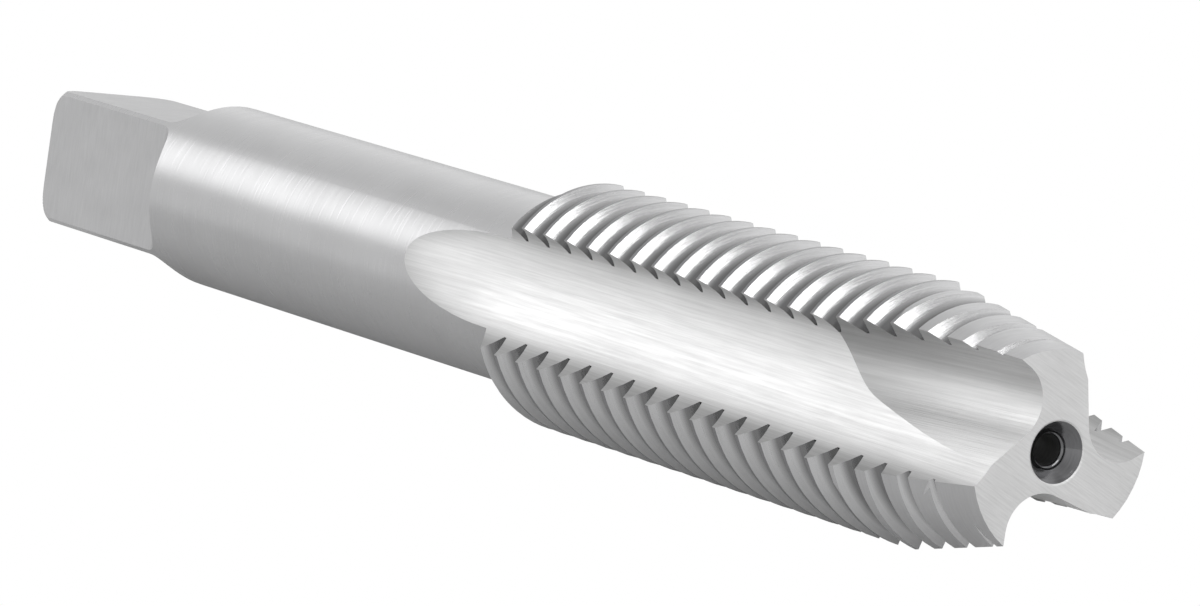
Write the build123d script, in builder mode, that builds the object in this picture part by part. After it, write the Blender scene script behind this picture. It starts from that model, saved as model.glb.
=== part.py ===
"""Hand and machine tap for a 1/2-13 UNC right-hand thread, ground from one round bar.

Three straight flutes, a spiral point, a plug chamfer and a driving square.
Frame: origin at the centre of the flat front face, +X out of the tip along the axis,
+Z up with the tap lying on two of its lands, one flute straight down. Millimetres.
"""

import os
from math import atan, cos, degrees, pi, radians, sin, tan

from build123d import *

# Thread form
thread_diameter = 12.7
thread_pitch = 25.4 / 13
crest_flat = thread_pitch / 8
thread_depth = 0.665 * thread_pitch
flank_angle = 30.0
groove_overrun = thread_pitch / 20

# Blank
overall_length = 89.0
thread_length = 40.5
shank_diameter = 9.78
end_chamfer = 0.85

# Driving square
square_width = 7.13
square_length = 13.5
square_turn = -24.0
square_corner_radius = 1.75

# Flutes
flute_count = 3
land_arc = 100.0
flute_floor = 3.13
flute_hook = 0.7
flute_edge_radius = 2.68
flute_heel_radius = 4.68
flute_taper = 0.48
flute_end = 42.6
flute_runout_radius = 22.0
flute_runout_angle = 45.0

# Spiral point, one ground gash per flute
point_wheel_radius = 50.0
point_wheel_lead = 1.45
point_wheel_arc = 25.0
point_skew = 2.4
point_web = 1.52
point_corner_across = 2.6
point_corner_radius = 1.95
point_face_slope = 24.0
point_floor_slope = 47.6

# Plug chamfer, ground with relief behind each cutting edge
chamfer_length = 7.4
tip_radius = 5.2
chamfer_relief = 0.42

# Female centre in the front face
centre_mouth_radius = 1.56
centre_cone_radius = 1.44
centre_mouth_depth = 0.06
centre_pilot_radius = 0.65
centre_pilot_depth = 3.6
centre_cone_angle = 30.0
drill_point_angle = 59.0

thread_radius = thread_diameter / 2
root_radius = thread_radius - thread_depth
shank_radius = shank_diameter / 2
clear_radius = thread_radius + 2.0
land_pitch = 360 / flute_count


def land_plane(offset=0.0):
    """Half plane at the low edge of the uppermost land's sector, about an axis moved to -Y."""
    start = radians(90 - land_arc / 2)
    return Plane(origin=(0, -offset, 0), x_dir=(1, 0, 0), z_dir=(0, -sin(start), cos(start)))


def turned(count, first_turn=0.0):
    """Places spaced evenly round the tap's own axis."""
    return [Location((0, 0, 0), (first_turn + turn * 360 / count, 0, 0)) for turn in range(count)]


# One thread groove over the uppermost land: a ring leaned by the lead angle
groove_top = thread_radius + groove_overrun
groove_half_top = (thread_pitch - crest_flat) / 2 + groove_overrun * tan(radians(flank_angle))
groove_half_root = groove_half_top - (groove_top - root_radius) * tan(radians(flank_angle))
lead_angle = degrees(atan(thread_pitch / (2 * pi * (thread_radius - thread_depth / 2))))
groove_rear = -thread_length - 0.98 * thread_pitch
groove_count = int(thread_length / thread_pitch) + 3
with BuildPart() as thread_groove:
    with BuildSketch(land_plane()):
        Polygon(
            (-groove_half_top, groove_top),
            (groove_half_top, groove_top),
            (groove_half_root, root_radius),
            (-groove_half_root, root_radius),
            align=None,
        )
    revolve(axis=Axis.X, revolution_arc=land_arc)
groove_places = [
    Location((groove_rear + (turn + land / flute_count) * thread_pitch, 0, 0), (land * land_pitch, 0, 0))
    * Location((0, 0, 0), (0, 0, lead_angle))
    for land in range(flute_count)
    for turn in range(groove_count)
]

# Flute cutter, straight along the lowest flute and then rising out of the shank:
# a tight round on the cutting side meets a wider one on the heel side at the flute's floor
with BuildPart() as flute_cutter:
    with BuildLine(Plane.XZ) as flute_path:
        run = PolarLine((point_wheel_lead, -flute_floor), flute_end + point_wheel_lead, 180 + flute_taper)
        JernArc(run @ 1, run % 1, flute_runout_radius, flute_runout_angle)
    with BuildSketch(Plane(origin=run @ 0, x_dir=(0, 1, 0), z_dir=run % 0)) as flute_section:
        with Locations((-flute_hook, flute_heel_radius)):
            Circle(flute_heel_radius)
            Rectangle(
                2 * flute_heel_radius,
                2 * flute_heel_radius,
                align=(Align.MIN, Align.CENTER),
                mode=Mode.INTERSECT,
            )
        with Locations((-flute_hook, flute_edge_radius)):
            Circle(flute_edge_radius)
    sweep(path=flute_path.line)

# Grinding wheel of the spiral point, over the lowest flute
face_run = clear_radius
face_drop = face_run * tan(radians(point_face_slope))
floor_run = 0.75 * clear_radius
floor_rise = floor_run * tan(radians(point_floor_slope))
corner_half_angle = radians((point_face_slope + point_floor_slope) / 2)
corner_height = point_corner_radius * (1 / sin(corner_half_angle) - 1) - point_web
wheel_plane = Plane.YZ.offset(point_wheel_lead).rotated((0, 0, -point_skew))
with BuildPart() as point_wheel:
    with BuildSketch(wheel_plane) as wheel_section:
        with BuildLine():
            Polyline(
                (-point_corner_across - face_drop, corner_height - face_run),
                (-point_corner_across, corner_height),
                (-point_corner_across + floor_rise, corner_height - floor_run),
                (-point_corner_across + floor_rise, corner_height - face_run),
                close=True,
            )
        make_face()
        fillet(wheel_section.vertices().sort_by(Axis.Y)[-1], point_corner_radius)
    wheel_centre = wheel_plane.from_local_coords((0, -point_web - point_wheel_radius, 0))
    revolve(axis=Axis(wheel_centre, -wheel_plane.x_dir), revolution_arc=point_wheel_arc)

# Chamfer ring of the uppermost land, off centre so that the land falls away behind its edge
chamfer_rise = (thread_radius - tip_radius) / chamfer_length
ring_offset = chamfer_relief
ring_front = tip_radius - ring_offset / 2
ring_rear = ring_front + 2 * chamfer_length * chamfer_rise
with BuildPart() as chamfer_ring:
    with BuildSketch(land_plane(ring_offset)):
        Polygon(
            (1, ring_front - chamfer_rise),
            (1, clear_radius),
            (-2 * chamfer_length, clear_radius),
            (-2 * chamfer_length, ring_rear),
            align=None,
        )
    revolve(axis=Axis((0, -ring_offset, 0), (1, 0, 0)), revolution_arc=land_arc)

# Cutter of the top flat of the square, with its round corner at the shank end
with BuildPart() as flat_cutter:
    with BuildSketch(Plane.XZ) as flat_section:
        with Locations((-overall_length - 1, square_width / 2)):
            Rectangle(square_length + 1, shank_radius, align=(Align.MIN, Align.MIN))
        fillet(flat_section.vertices().group_by(Axis.X)[-1].sort_by(Axis.Y)[0], square_corner_radius)
    extrude(amount=shank_radius + 1, both=True)

# The tap
rear_cone = thread_radius - shank_radius
with BuildPart() as tap:
    with BuildSketch(Plane.XY) as blank:
        with BuildLine():
            Polyline(
                (0, 0),
                (0, thread_radius),
                (-thread_length, thread_radius),
                (-thread_length - rear_cone, shank_radius),
                (-overall_length + end_chamfer, shank_radius),
                (-overall_length, shank_radius - end_chamfer),
                (-overall_length, 0),
                close=True,
            )
        make_face()
    revolve(axis=Axis.X)
    with Locations(turned(flute_count)):
        add(flute_cutter.part, mode=Mode.SUBTRACT)
    with Locations(groove_places):
        add(thread_groove.part, mode=Mode.SUBTRACT)
    with Locations(turned(flute_count)):
        add(point_wheel.part, mode=Mode.SUBTRACT)
    with Locations(turned(flute_count)):
        add(chamfer_ring.part, mode=Mode.SUBTRACT)
    with Locations(turned(4, square_turn)):
        add(flat_cutter.part, mode=Mode.SUBTRACT)
    with BuildSketch(Plane.XY) as centre_section:
        with BuildLine():
            Polyline(
                (0, 0),
                (0, centre_mouth_radius),
                (-centre_mouth_depth, centre_cone_radius),
                (
                    -centre_mouth_depth
                    - (centre_cone_radius - centre_pilot_radius) / tan(radians(centre_cone_angle)),
                    centre_pilot_radius,
                ),
                (-centre_pilot_depth, centre_pilot_radius),
                (-centre_pilot_depth - centre_pilot_radius / tan(radians(drill_point_angle)), 0),
                close=True,
            )
        make_face()
    revolve(axis=Axis.X, mode=Mode.SUBTRACT)
tap.part.label = "tap"

os.makedirs("parts", exist_ok=True)
export_step(tap.part, "parts/tap.step")
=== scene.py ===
import math
from collections import namedtuple

import bmesh
import bpy
from mathutils import Matrix, Vector


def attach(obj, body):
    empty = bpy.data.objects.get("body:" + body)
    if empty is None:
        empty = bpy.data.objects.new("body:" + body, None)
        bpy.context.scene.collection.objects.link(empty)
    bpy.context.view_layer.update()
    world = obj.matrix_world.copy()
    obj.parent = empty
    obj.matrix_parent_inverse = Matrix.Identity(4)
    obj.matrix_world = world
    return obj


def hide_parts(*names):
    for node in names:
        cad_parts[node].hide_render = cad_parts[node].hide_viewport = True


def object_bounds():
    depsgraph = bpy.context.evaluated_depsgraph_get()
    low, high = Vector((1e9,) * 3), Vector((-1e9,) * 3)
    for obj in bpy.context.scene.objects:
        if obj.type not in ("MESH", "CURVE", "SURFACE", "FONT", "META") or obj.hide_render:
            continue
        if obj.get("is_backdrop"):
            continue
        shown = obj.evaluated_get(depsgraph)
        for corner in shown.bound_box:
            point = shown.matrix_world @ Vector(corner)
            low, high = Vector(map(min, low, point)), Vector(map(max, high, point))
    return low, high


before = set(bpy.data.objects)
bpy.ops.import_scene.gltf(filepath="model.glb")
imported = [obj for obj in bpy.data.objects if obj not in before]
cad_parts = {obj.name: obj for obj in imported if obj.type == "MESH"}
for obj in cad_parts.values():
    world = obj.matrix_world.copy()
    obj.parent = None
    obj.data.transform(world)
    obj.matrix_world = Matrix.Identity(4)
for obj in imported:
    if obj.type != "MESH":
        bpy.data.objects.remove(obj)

low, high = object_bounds()

MM_PER_METRE = 1000.0

# Sizes of the solid in millimetres and degrees, as in the part's source
THREAD_END = -40.5
SHANK_RADIUS = 4.89
FLUTE_TURNS = (-90.0, 30.0, 150.0)
FLUTE_FLOOR = 3.13
FLUTE_HOOK = 0.7
FLUTE_EDGE_RADIUS = 2.68
FLUTE_HEEL_RADIUS = 4.68
FLUTE_TAPER = 0.48
FLUTE_END = -42.6
RUNOUT_RADIUS = 22.0
WHEEL_RADIUS = 50.0
WHEEL_LEAD = 1.45
WHEEL_SKEW = 2.4
POINT_WEB = 1.52
CORNER_ACROSS = 2.6
CORNER_RADIUS = 1.95
FACE_SLOPE = 24.0
FLOOR_SLOPE = 47.6
MOUTH_RADIUS = 1.56
REAR_END = -89.0

# Centre of the wheel's round corner: its place along the wheel, and past the tap's axis
WHEEL_REACH = WHEEL_RADIUS + POINT_WEB
CORNER_HALF = math.radians((FLOOR_SLOPE + FACE_SLOPE) / 2)
CORNER_LEAN = math.radians((FLOOR_SLOPE - FACE_SLOPE) / 2)
CORNER_BACK = CORNER_RADIUS / math.sin(CORNER_HALF)
CORNER_SIDE = CORNER_BACK * math.sin(CORNER_LEAN) - CORNER_ACROSS
CORNER_RISE = CORNER_BACK * (1 - math.cos(CORNER_LEAN)) - CORNER_RADIUS - POINT_WEB

# Limits that tell the ground surfaces apart: places in millimetres, and parts of a face's unit normal
FRONT_DEPTH = 0.03
FRONT_FORWARD = 0.99
HOLE_RADIUS = 1.6
HOLE_DEPTH = 6.0
SQUARE_START = -75.4
SQUARE_MARGIN = 0.05
SQUARE_OUTWARD = 0.95
END_FORWARD = -0.3
WALL_FORWARD = 0.8
SHANK_MARGIN = 0.06
SHANK_OUTWARD = 0.985
CONE_FORWARD = -0.6
GROOVE_BOTTOM = 4.5
HOLLOW_FORWARD = 0.6
HOLLOW_OUTWARD = 0.9
CHAMFER_FORWARD = 0.1
CREST_RADIUS = 6.2
POINT_REAR = -15.0
LEAST_RADIUS = 1e-6

# Centre hole as (x, radius), and its end, in the photo's proportions
CENTRE_PROFILE = (
    (-0.05, 1.48), (-0.58, 0.935), (-0.61, 0.91), (-0.66, 0.89), (-0.71, 0.875), (-0.74, 0.84),
    (-0.76, 0.79), (-0.79, 0.77), (-0.84, 0.76), (-3.6, 0.76),
)
CENTRE_END = -4.05
MOUTH_MARGIN = 0.02

# Round end of the square: radius, steps of the round, and how finely its long rim edges are cut
REAR_ROUND = 0.9
REAR_STEPS = 14
REAR_CUTS = 40
LONG_EDGE = 0.8
SAME_PLANE = 1e-3
SAME_PLACE = 1e-4

# Grinding lines: noise scales per millimetre, and per radian round the axis
ROUND_SCALES = (9.0, 9.0, 1.2)
LONG_SCALES = (0.16, 7.0, 7.0)
LONG_SHIFT = 125.0
WHEEL_SCALES = (6.0, 6.0, 0.12)
FACE_SCALES = (9.0, 0.5)
FACE_LINES = (0.77, 0.64)
CROSS_SCALES = (10.0, 0.8, 0.8)
LINE_DETAIL, LINE_ROUGHNESS = 5.0, 0.65
LINE_HEIGHT = 0.00002
LINE_GLOSS = (1.15, 0.85)

# Wide and faint clouds over every surface
CLOUD_SCALES = (0.25, 0.4, 0.4)
CLOUD_DETAIL, CLOUD_ROUGHNESS = 2.0, 0.5
CLOUD_SHADES = (0.97, 1.03)

# Middle part of a noise, which holds nearly all of its values
NOISE_SPAN = (0.3, 0.7)

# Painted shade near the thread's roots, where the surface is also slightly hollow. The radius where it
# starts falls with the chamfer
GROOVE_TURN = 6.03
CHAMFER_TURN = 4.72
CHAMFER_RISE = 0.155
GROOVE_DEPTH = 0.35
GROOVE_SHADE = 0.38
GROOVE_CURVE = 0.0009

# Painted shade on the spiral point across the wheel and along x, and its slight crown
POINT_FACE_SPAN = (-3.4, -1.0)
POINT_FACE_SHADE = 0.58
POINT_REAR_SPAN = (-12.0, -5.0)
POINT_REAR_SHADE = 0.72
CROWN_START = -1.5
CROWN_CURVE = 0.00007

# Studio, in metres and degrees, around a place near the tap's middle
MIDDLE = -0.045
FLOOR_SIZE = 0.7
FLOOR_SHADE = 0.80
FLOOR_ROUGHNESS = 0.9
SKY_SHADES = ((0.0, 0.95), (0.2, 0.92), (0.35, 0.88), (0.6, 0.78), (0.85, 0.6), (1.0, 0.55))
FAR_SIDE_SPAN, FAR_SIDE_LIGHT = (-0.1, 0.5), (1.0, 1.2)
DIM_WAY = (0.579, 0.579, 0.574)
DIM_SPAN, DIM_LIGHT = (0.94, 1.0), (1.0, 0.6)
LAMP_DISTANCE = 0.7

# Camera, found from the photo
CAMERA_PLACE = (0.318274, -0.201658, 0.139836)
CAMERA_AIM = (-0.0428092, 0.0022605, -0.0010614)
CAMERA_ROLL = -12.588
CAMERA_LENS = 260.83
CAMERA_SENSOR = 36.0
CAMERA_CLIP = (0.01, 10.0)

WHITE = (1, 1, 1, 1)


class Graph:
    """The nodes of one material or world, with its sums written as short calls."""

    def __init__(self, tree):
        self.tree = tree

    def node(self, kind, **values):
        made = self.tree.nodes.new(kind)
        for name, value in values.items():
            if name in made.inputs:
                made.inputs[name].default_value = value
            else:
                setattr(made, name, value)
        return made

    def plug(self, value, socket):
        """Link a socket to another node's output, or set it to a plain value."""
        if isinstance(value, bpy.types.NodeSocket):
            self.tree.links.new(value, socket)
        else:
            socket.default_value = value

    def maths(self, operation, *values):
        made = self.node("ShaderNodeMath", operation=operation)
        for socket, value in zip(made.inputs, values):
            self.plug(value, socket)
        return made.outputs[0]

    def add(self, a, b):
        return self.maths("ADD", a, b)

    def minus(self, a, b):
        return self.maths("SUBTRACT", a, b)

    def times(self, a, b):
        return self.maths("MULTIPLY", a, b)

    def length(self, a, b):
        return self.maths("SQRT", self.add(self.times(a, a), self.times(b, b)))

    def stretched(self, values, scales):
        """A place whose parts are the values times their scales."""
        made = self.node("ShaderNodeCombineXYZ")
        for socket, value, scale in zip(made.inputs, values, scales):
            self.plug(self.times(value, scale), socket)
        return made.outputs[0]

    def parts(self, place):
        made = self.node("ShaderNodeSeparateXYZ")
        self.plug(place, made.inputs[0])
        return made.outputs

    def noise(self, place, detail, roughness):
        made = self.node("ShaderNodeTexNoise", Scale=1.0, Detail=detail, Roughness=roughness)
        self.plug(place, made.inputs["Vector"])
        return made.outputs["Fac"]

    def remap(self, value, span, result, smooth=False):
        """A value moved from one span to another, held at the ends."""
        made = self.node("ShaderNodeMapRange")
        made.interpolation_type = "SMOOTHSTEP" if smooth else "LINEAR"
        for name, number in zip(("From Min", "From Max", "To Min", "To Max"), span + result):
            made.inputs[name].default_value = number
        self.plug(value, made.inputs["Value"])
        return made.outputs["Result"]

    def ramp(self, value, stops):
        """Grey that follows a value through stops of (value, shade)."""
        made = self.node("ShaderNodeValToRGB")
        self.plug(value, made.inputs[0])
        band = made.color_ramp
        while len(band.elements) > 1:
            band.elements.remove(band.elements[-1])
        for i, (at, shade) in enumerate(stops):
            element = band.elements[0] if i == 0 else band.elements.new(at)
            element.position = at
            element.color = (shade, shade, shade, 1)
        return made.outputs[0]

    def show(self, usual, direct, output):
        """One shader for the light in the room, and another one where the camera looks straight at it."""
        path = self.node("ShaderNodeLightPath")
        mix = self.node("ShaderNodeMixShader")
        self.plug(path.outputs["Is Camera Ray"], mix.inputs[0])
        self.plug(usual.outputs[0], mix.inputs[1])
        self.plug(direct.outputs[0], mix.inputs[2])
        self.plug(mix.outputs[0], output.inputs["Surface"])


Spot = namedtuple("Spot", "x y z radius turn")


def shaded_spot(graph):
    """The shaded place in millimetres, with its radius and its turn about the tap's axis."""
    where = graph.node("ShaderNodeTexCoord").outputs["Object"]
    scaled = graph.node("ShaderNodeVectorMath", operation="SCALE", Scale=MM_PER_METRE)
    graph.plug(where, scaled.inputs[0])
    x, y, z = graph.parts(scaled.outputs[0])
    return Spot(x, y, z, graph.length(y, z), graph.maths("ARCTAN2", z, y))


def flute_place(graph, spot):
    """Place across and along the nearest flute's own way out from the axis, and that way's turn."""
    third = math.radians(360 / len(FLUTE_TURNS))
    from_edge = graph.add(spot.turn, third / 2 - math.radians(FLUTE_TURNS[0]))
    near = graph.minus(graph.maths("FLOORED_MODULO", from_edge, third), third / 2)
    across = graph.times(spot.radius, graph.maths("SINE", near))
    along = graph.times(spot.radius, graph.maths("COSINE", near))
    return across, along, graph.minus(spot.turn, near)


def wheel_place(graph, spot):
    """Place along, round and out from the axis of the wheel that ground the nearest spiral point."""
    across, along = flute_place(graph, spot)[:2]
    lead = graph.minus(spot.x, WHEEL_LEAD)
    skew = math.radians(WHEEL_SKEW)
    side = graph.add(graph.times(lead, math.sin(skew)), graph.times(across, math.cos(skew)))
    ahead = graph.minus(graph.times(lead, math.cos(skew)), graph.times(across, math.sin(skew)))
    return side, ahead, graph.length(graph.minus(WHEEL_REACH, along), ahead)


# Each grain turns the shaded place into a place in the noise, long where the grinding lines run

def round_grain(graph, spot):
    """Lines round the tap's axis."""
    return graph.stretched((spot.x, spot.radius, spot.turn), ROUND_SCALES)


def long_grain(graph, spot):
    """Lines along a flute, which follow its floor up where it runs out, and differ from flute to flute."""
    across, along, middle = flute_place(graph, spot)
    past = graph.maths("MINIMUM", graph.minus(spot.x, FLUTE_END), 0.0)
    level = graph.maths("SQRT", graph.minus(RUNOUT_RADIUS ** 2, graph.times(past, past)))
    shift = graph.times(middle, LONG_SHIFT)
    return graph.stretched((graph.add(spot.x, shift), across, graph.add(along, level)), LONG_SCALES)


def wheel_grain(graph, spot):
    """Lines round the axis of the spiral point's wheel."""
    side, ahead, reach = wheel_place(graph, spot)
    return graph.stretched((side, reach, ahead), WHEEL_SCALES)


def face_grain(graph, spot):
    """Straight and slanted lines over the front face."""
    a, b = FACE_LINES
    across = graph.add(graph.times(spot.y, a), graph.times(spot.z, b))
    along = graph.minus(graph.times(spot.z, a), graph.times(spot.y, b))
    return graph.stretched((across, along), FACE_SCALES)


def cross_grain(graph, spot):
    """Lines straight across the square's flats."""
    return graph.stretched((spot.x, spot.y, spot.z), CROSS_SCALES)


# Each extra gives a factor of painted shade for the colour and a height in metres to add to the surface

def painted_rim_shade(start, stop, least):
    """Painted shade, darker towards the rim of a hollow, from one radius to another."""

    def extra(graph, spot):
        return graph.remap(spot.radius, (start, stop), (1.0, least), smooth=True), 0.0

    return extra


def shaded_crowned_point(graph, spot):
    """Painted shade, darker on the cutting side of the spiral point and at its rear; the surface is also
    slightly crowned.
    """
    side = wheel_place(graph, spot)[0]
    face = graph.remap(side, POINT_FACE_SPAN, (POINT_FACE_SHADE, 1.0), smooth=True)
    rear = graph.remap(spot.x, POINT_REAR_SPAN, (POINT_REAR_SHADE, 1.0))
    crown = graph.maths("MAXIMUM", graph.minus(side, CROWN_START), 0.0)
    return graph.times(face, rear), graph.times(graph.times(crown, crown), -CROWN_CURVE)


def shaded_hollow_root(graph, spot):
    """Painted shade, darker towards the root of a thread groove, and slightly hollow there."""
    in_chamfer = graph.minus(CHAMFER_TURN, graph.times(spot.x, CHAMFER_RISE))
    start = graph.maths("MINIMUM", in_chamfer, GROOVE_TURN)
    depth = graph.maths("MAXIMUM", graph.minus(start, spot.radius), 0.0)
    root_shade = graph.remap(depth, (0.0, GROOVE_DEPTH), (1.0, GROOVE_SHADE))
    return root_shade, graph.times(graph.times(depth, depth), GROOVE_CURVE)


def steel(name, grain, tint, rough, bump, streak, extras=()):
    """Steel with fine lines. streak is the shade of its darkest and its lightest line."""
    material = bpy.data.materials.new(name)
    material.use_nodes = True
    graph = Graph(material.node_tree)
    shader = material.node_tree.nodes["Principled BSDF"]
    spot = shaded_spot(graph)
    lines = graph.noise(grain(graph, spot), LINE_DETAIL, LINE_ROUGHNESS)
    cloud_place = graph.stretched((spot.x, spot.y, spot.z), CLOUD_SCALES)
    cloud = graph.noise(cloud_place, CLOUD_DETAIL, CLOUD_ROUGHNESS)
    streaks = graph.remap(lines, NOISE_SPAN, streak)
    shade = graph.times(streaks, graph.remap(cloud, NOISE_SPAN, CLOUD_SHADES))
    height = graph.times(lines, LINE_HEIGHT)
    for extra in extras:
        factor, rise = extra(graph, spot)
        shade = graph.times(shade, factor)
        height = graph.add(height, rise)
    colour = graph.node("ShaderNodeVectorMath", operation="SCALE")
    graph.plug(tint, colour.inputs[0])
    graph.plug(shade, colour.inputs["Scale"])
    relief = graph.node("ShaderNodeBump", Strength=bump, Distance=1.0)
    graph.plug(height, relief.inputs["Height"])
    roughness = graph.remap(lines, NOISE_SPAN, (rough * LINE_GLOSS[0], rough * LINE_GLOSS[1]))
    graph.plug(1.0, shader.inputs["Metallic"])
    graph.plug(colour.outputs[0], shader.inputs["Base Color"])
    graph.plug(roughness, shader.inputs["Roughness"])
    graph.plug(relief.outputs[0], shader.inputs["Normal"])
    return material


# One steel for each kind of surface: name, grain, tint, roughness, strength of the bump, streak, extras.
# The tints lighten or darken one steel from surface to surface, partly as painted light and shade
STEELS = {
    "shank": steel("shank_ground", round_grain, (0.50, 0.50, 0.505), 0.30, 0.04, (0.985, 1.015)),
    "square": steel("square_milled", cross_grain, (0.49, 0.49, 0.495), 0.42, 0.1, (0.97, 1.03)),
    # Flute: its rim is painted darker as shade
    "flute": steel(
        "flute_ground", long_grain, (0.96, 0.96, 0.96), 0.48, 0.7, (0.88, 1.02), [painted_rim_shade(4.2, 5.8, 0.48)]
    ),
    # Spiral point: painted shade at its rim, on its cutting side and at its rear
    "gash": steel(
        "point_ground",
        wheel_grain,
        (1.0, 1.0, 1.0),
        0.42,
        1.0,
        (0.86, 1.0),
        [painted_rim_shade(4.6, 5.8, 0.75), shaded_crowned_point],
    ),
    # Thread: painted shade towards its roots
    "thread": steel(
        "thread_ground", round_grain, (0.62, 0.62, 0.625), 0.19, 1.0, (0.95, 1.04), [shaded_hollow_root]
    ),
    # Crest: the thread's steel painted dark as shade, for thin dark crest lines
    "crest": steel("crest_painted_dark", round_grain, (0.25, 0.25, 0.255), 0.30, 0.1, (0.95, 1.04)),
    "chamfer": steel("chamfer_ground", round_grain, (0.52, 0.52, 0.525), 0.32, 0.1, (0.95, 1.04)),
    "front": steel("front_ground", face_grain, (0.80, 0.80, 0.80), 0.56, 0.4, (0.90, 1.04)),
    # Centre hole: its cone and its bore are painted dark as the shade inside the hole
    "hole": steel("centre_cone_painted_dark", round_grain, (0.18, 0.18, 0.185), 0.10, 0.2, (0.85, 1.1)),
    "bore": steel("bore_painted_shade", round_grain, (0.35, 0.35, 0.35), 0.45, 0.2, (0.85, 1.1)),
}
ORDER = list(STEELS)


def flute_gap(along, across, x):
    """Distance to the two rounds of a flute's straight run, in its own section."""
    radius = FLUTE_EDGE_RADIUS if across < -FLUTE_HOOK else FLUTE_HEEL_RADIUS
    middle = FLUTE_FLOOR + radius - x * math.tan(math.radians(FLUTE_TAPER))
    return abs(math.hypot(middle - along, across + FLUTE_HOOK) - radius)


def wheel_gap(along, across, x):
    """Distance to the wheel of the spiral point: two slopes that meet in a round corner."""
    skew, face, base = (math.radians(angle) for angle in (WHEEL_SKEW, FACE_SLOPE, FLOOR_SLOPE))
    side = (x - WHEEL_LEAD) * math.sin(skew) + across * math.cos(skew)
    ahead = (x - WHEEL_LEAD) * math.cos(skew) - across * math.sin(skew)
    rise = math.hypot(WHEEL_REACH - along, ahead) - WHEEL_REACH
    u, v = side - CORNER_SIDE, rise - CORNER_RISE
    past_face = u * math.sin(face) + v * math.cos(face) > 0
    past_base = v * math.cos(base) - u * math.sin(base) > 0
    if past_face and past_base:
        return abs(math.hypot(u, v) - CORNER_RADIUS)
    outside = max(v * math.sin(face) - u * math.cos(face), v * math.sin(base) + u * math.cos(base))
    return abs(outside - CORNER_RADIUS)


def hollow(centre, corners):
    """The flute or the spiral point, whichever the corners of a hollow face lie closer to."""
    if centre.x < POINT_REAR:
        return "flute"
    turns = [math.radians(turn) for turn in FLUTE_TURNS]
    turn = max(turns, key=lambda a: centre.y * math.cos(a) + centre.z * math.sin(a))
    out_y, out_z = math.cos(turn), math.sin(turn)
    places = [(v.y * out_y + v.z * out_z, v.z * out_y - v.y * out_z, v.x) for v in corners]
    from_flute = sum(flute_gap(*place) for place in places)
    from_wheel = sum(wheel_gap(*place) for place in places)
    return "flute" if from_flute < from_wheel else "gash"


def rear_surface(radius, outward, forward):
    """Shank or flute, for a face behind the thread and in front of the square."""
    if radius > SHANK_RADIUS - SHANK_MARGIN and (outward > SHANK_OUTWARD or forward < CONE_FORWARD):
        return "shank"
    return "flute"


def surface(centre, normal, corners):
    """Which ground surface of the tap a face belongs to. Places are in millimetres."""
    x, forward = centre.x, normal.x
    radius = math.hypot(centre.y, centre.z)
    outward = (centre.y * normal.y + centre.z * normal.z) / max(radius, LEAST_RADIUS)
    on_round = radius >= SHANK_RADIUS - SQUARE_MARGIN and outward >= SQUARE_OUTWARD
    if x > -FRONT_DEPTH and forward > FRONT_FORWARD:
        return "front"
    if x > -HOLE_DEPTH and radius < HOLE_RADIUS:
        return "hole"
    if x < SQUARE_START and (forward < END_FORWARD or not on_round):
        return "square"
    if FLUTE_END < x < THREAD_END and abs(forward) > WALL_FORWARD:
        return "thread"
    if x < THREAD_END:
        return rear_surface(radius, outward, forward)
    if radius < GROOVE_BOTTOM or abs(forward) < HOLLOW_FORWARD and outward < HOLLOW_OUTWARD:
        return hollow(centre, corners)
    if outward > HOLLOW_OUTWARD and forward > CHAMFER_FORWARD:
        return "chamfer"
    return "crest" if outward > HOLLOW_OUTWARD and radius > CREST_RADIUS else "thread"


def by_turn(verts):
    """Vertices in order round the tap's axis."""
    return sorted(verts, key=lambda v: math.atan2(v.co.z, v.co.y))


def redrill(mesh):
    """Replace the centre hole in the front face by one turned from CENTRE_PROFILE."""
    work = bmesh.new()
    work.from_mesh(mesh)
    drilled = [face for face in work.faces if face.material_index == ORDER.index("hole")]
    bmesh.ops.delete(work, geom=drilled, context="FACES")
    mouth = []
    for v in work.verts:
        radius = math.hypot(v.co.y, v.co.z) * MM_PER_METRE
        if v.is_boundary and abs(radius - MOUTH_RADIUS) < MOUTH_MARGIN:
            mouth.append(v)
    rings = [by_turn(mouth)]
    for x, radius in CENTRE_PROFILE:
        ring = []
        for v in rings[0]:
            place = (x / MM_PER_METRE, v.co.y * radius / MOUTH_RADIUS, v.co.z * radius / MOUTH_RADIUS)
            ring.append(work.verts.new(place))
        rings.append(ring)
    end = work.verts.new((CENTRE_END / MM_PER_METRE, 0, 0))
    # The cone and the bore take steels painted dark as shade
    kinds = ["front"] + ["hole"] * (len(CENTRE_PROFILE) - 2) + ["bore"]
    for i in range(len(mouth)):
        j = (i + 1) % len(mouth)
        for outer, inner, kind in zip(rings, rings[1:], kinds):
            face = work.faces.new((outer[i], outer[j], inner[j], inner[i]))
            face.material_index = ORDER.index(kind)
            face.smooth = True
        face = work.faces.new((rings[-1][i], rings[-1][j], end))
        face.material_index = ORDER.index("bore")
    work.to_mesh(mesh)
    work.free()


def rear_rim(work, start):
    """Cut the end of the square off at a plane, and give the open rim's vertices in order of their turn."""
    everything = work.verts[:] + work.edges[:] + work.faces[:]
    cut = bmesh.ops.bisect_plane(
        work, geom=everything, plane_co=(start, 0, 0), plane_no=(-1, 0, 0), clear_outer=True
    )
    edges = [item for item in cut["geom_cut"] if isinstance(item, bmesh.types.BMEdge)]
    flats = [edge for edge in edges if edge.calc_length() > LONG_EDGE / MM_PER_METRE]
    bmesh.ops.subdivide_edges(work, edges=flats, cuts=REAR_CUTS)
    nearly = start + SAME_PLANE / MM_PER_METRE
    rim = by_turn(v for v in work.verts if v.is_boundary and v.co.x < nearly)
    return [v for i, v in enumerate(rim) if (v.co - rim[i - 1].co).length > SAME_PLACE / MM_PER_METRE]


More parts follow.
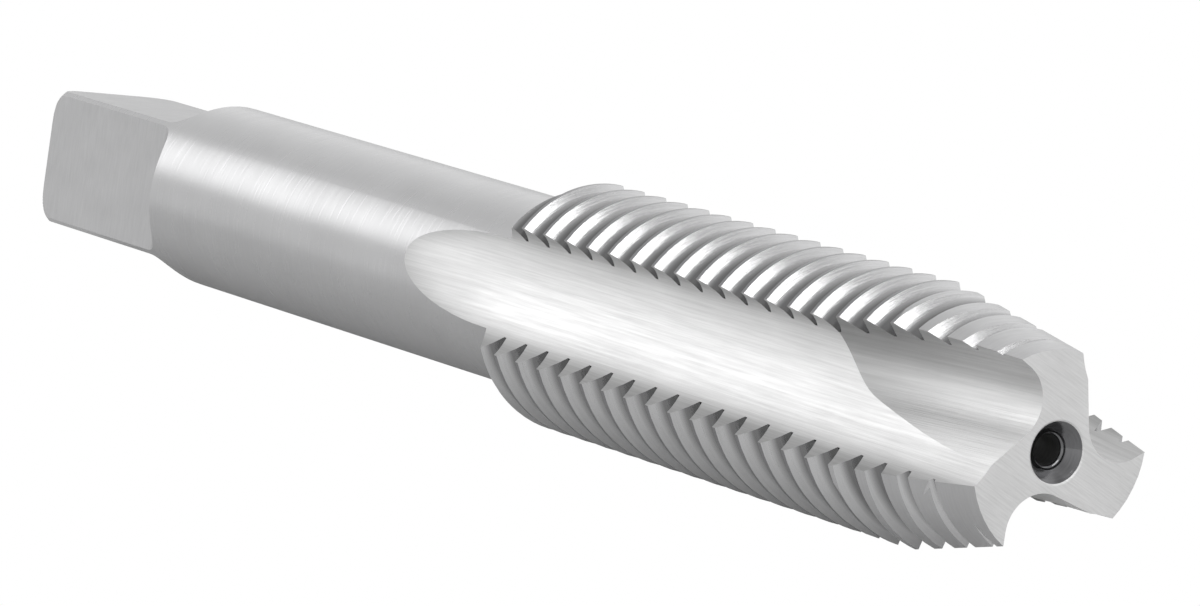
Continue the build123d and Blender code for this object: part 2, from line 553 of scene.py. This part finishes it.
def round_rear(mesh):
    """Turn the straight end chamfer of the square into a round corner."""
    work = bmesh.new()
    work.from_mesh(mesh)
    start = (REAR_END + REAR_ROUND) / MM_PER_METRE
    rings = [rear_rim(work, start)]
    for step in range(1, REAR_STEPS + 1):
        turn = math.radians(90 * step / REAR_STEPS)
        x = start - math.sin(turn) * REAR_ROUND / MM_PER_METRE
        limit = (SHANK_RADIUS - REAR_ROUND + math.cos(turn) * REAR_ROUND) / MM_PER_METRE
        ring = []
        for v in rings[0]:
            shrink = min(1.0, limit / math.hypot(v.co.y, v.co.z))
            ring.append(work.verts.new((x, v.co.y * shrink, v.co.z * shrink)))
        rings.append(ring)
    end = work.verts.new((REAR_END / MM_PER_METRE, 0, 0))
    made = []
    for i in range(len(rings[0])):
        j = (i + 1) % len(rings[0])
        for outer, inner in zip(rings, rings[1:]):
            made.append(work.faces.new((outer[i], inner[i], inner[j], outer[j])))
        made.append(work.faces.new((rings[-1][i], end, rings[-1][j])))
    for face in made:
        face.material_index = ORDER.index("square")
    work.to_mesh(mesh)
    work.free()


def copy_with_surfaces(source, name):
    """A copy of the CAD object with a steel for each ground surface, a new centre hole and a round end."""
    made = bpy.data.objects.new(name, source.data.copy())
    bpy.context.scene.collection.objects.link(made)
    mesh = made.data
    mesh.materials.clear()
    for key in ORDER:
        mesh.materials.append(STEELS[key])
    for face in mesh.polygons:
        corners = [mesh.vertices[i].co * MM_PER_METRE for i in face.vertices]
        kind = surface(face.center * MM_PER_METRE, face.normal, corners)
        face.material_index = ORDER.index(kind)
    redrill(mesh)
    round_rear(mesh)
    return made


tap = copy_with_surfaces(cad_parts["tap"], "tap_ground")
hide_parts("tap")
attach(tap, "root")


def floor_paint():
    """Matt white that the camera sees as pure white."""
    paint = bpy.data.materials.new("floor_white")
    paint.use_nodes = True
    nodes = paint.node_tree.nodes
    graph = Graph(paint.node_tree)
    matt = nodes["Principled BSDF"]
    graph.plug((FLOOR_SHADE, FLOOR_SHADE, FLOOR_SHADE, 1), matt.inputs["Base Color"])
    graph.plug(FLOOR_ROUGHNESS, matt.inputs["Roughness"])
    glow = graph.node("ShaderNodeEmission", Strength=1.0, Color=WHITE)
    graph.show(matt, glow, nodes["Material Output"])
    return paint


bpy.ops.mesh.primitive_plane_add(size=FLOOR_SIZE, location=(MIDDLE, 0, low.z))
floor = bpy.context.object
floor.name = "floor"
floor.data.materials.append(floor_paint())
floor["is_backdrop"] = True


def studio_world():
    """A bright room that is darker above and in one soft spot, and white where the camera looks at it."""
    world = bpy.data.worlds.new("studio")
    world.use_nodes = True
    nodes = world.node_tree.nodes
    graph = Graph(world.node_tree)
    way = graph.node("ShaderNodeTexCoord").outputs["Generated"]
    parts = graph.parts(way)
    toward = graph.node("ShaderNodeVectorMath", operation="DOT_PRODUCT")
    graph.plug(way, toward.inputs[0])
    graph.plug(DIM_WAY, toward.inputs[1])
    far_side = graph.remap(parts["Y"], FAR_SIDE_SPAN, FAR_SIDE_LIGHT)
    dim = graph.remap(toward.outputs["Value"], DIM_SPAN, DIM_LIGHT)
    room = nodes["Background"]
    graph.plug(graph.ramp(parts["Z"], SKY_SHADES), room.inputs["Color"])
    graph.plug(graph.times(far_side, dim), room.inputs["Strength"])
    white = graph.node("ShaderNodeBackground", Strength=1.0, Color=WHITE)
    graph.show(room, white, nodes["World Output"])
    return world


def softbox(name, azimuth, elevation, width, height, power):
    """A rectangular lamp that faces the tap's middle. Its size is in metres and its power in watts."""
    light = bpy.data.lights.new(name, "AREA")
    light.shape = "RECTANGLE"
    light.size, light.size_y, light.energy = width, height, power
    lamp = bpy.data.objects.new(name, light)
    bpy.context.scene.collection.objects.link(lamp)
    a, e = math.radians(azimuth), math.radians(elevation)
    away = Vector((math.cos(a) * math.cos(e), math.sin(a) * math.cos(e), math.sin(e)))
    lamp.location = Vector((MIDDLE, 0, 0)) + away * LAMP_DISTANCE
    lamp.visible_camera = False
    lamp.rotation_mode = "QUATERNION"
    lamp.rotation_quaternion = (-away).to_track_quat("-Z", "Y")


def photo_camera():
    """The camera that took the photo."""
    camera = bpy.data.cameras.new("camera")
    camera.sensor_width, camera.lens = CAMERA_SENSOR, CAMERA_LENS
    camera.clip_start, camera.clip_end = CAMERA_CLIP
    eye = bpy.data.objects.new("camera", camera)
    bpy.context.scene.collection.objects.link(eye)
    eye.location = CAMERA_PLACE
    level = (Vector(CAMERA_AIM) - eye.location).to_track_quat("-Z", "Y")
    roll = Matrix.Rotation(math.radians(CAMERA_ROLL), 3, "Z").to_quaternion()
    eye.rotation_mode = "QUATERNION"
    eye.rotation_quaternion = level @ roll
    return eye


bpy.context.scene.world = studio_world()
softbox("back_left", -165, 27, 0.32, 0.2, 0.28)
softbox("front_high", 12, 33, 0.38, 0.2, 0.56)
bpy.context.scene.camera = photo_camera()
bpy.context.scene.view_settings.view_transform = "Standard"

low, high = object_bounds()
